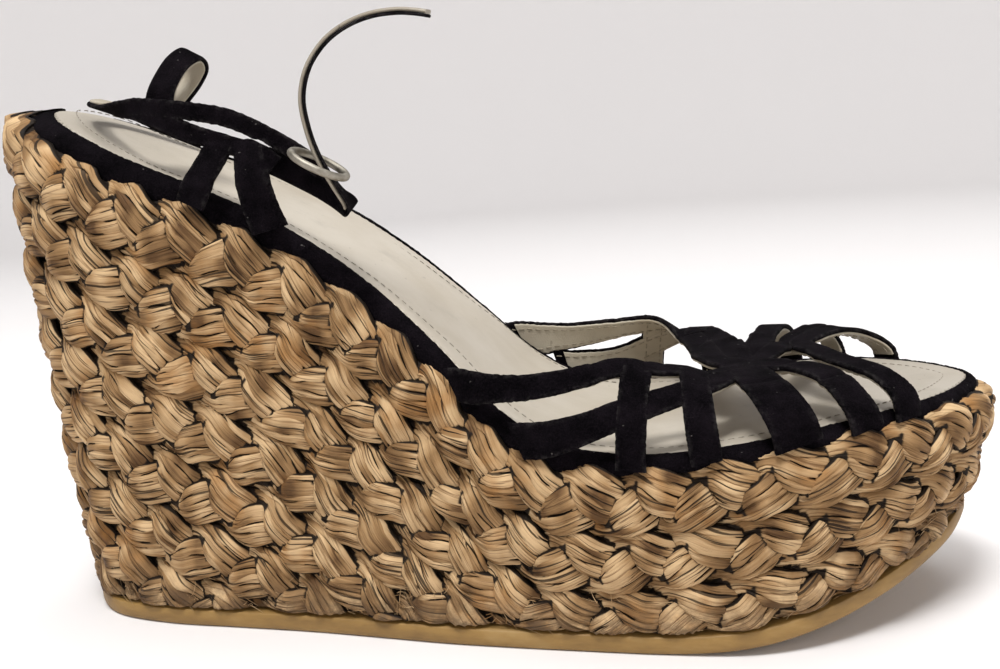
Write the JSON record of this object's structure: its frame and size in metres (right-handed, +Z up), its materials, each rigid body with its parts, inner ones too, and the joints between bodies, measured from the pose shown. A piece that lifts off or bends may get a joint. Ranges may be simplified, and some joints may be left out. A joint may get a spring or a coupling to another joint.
{
  "type": "espadrille wedge sandal",
  "caption": "Right-foot espadrille wedge sandal with a plaited straw wedge and platform, caged suede toe straps, a heel band on A-shaped legs and a ring for the ankle strap.",
  "frame": {"origin": "on the floor under the middle of the shoe's bounding box", "axes": "+X to the toe, +Y to the medial side, +Z up"},
  "size_m": [0.2342, 0.0917, 0.1381],
  "materials": {
    "outsole": "matt golden tan sheet",
    "straw": "plaited natural straw",
    "footbed": "smooth cream leather",
    "suede": "black suede with cream lining",
    "ring": "dull nickel"
  },
  "bodies": {
    "root": {"outsole": "outsole", "wedge": "straw", "insole": "footbed", "rim": "suede", "vamp": "suede", "heel_strap": "suede", "back_loop": "suede", "ankle_strap": "suede", "ring": "ring"}
  },
  "joints": []
}
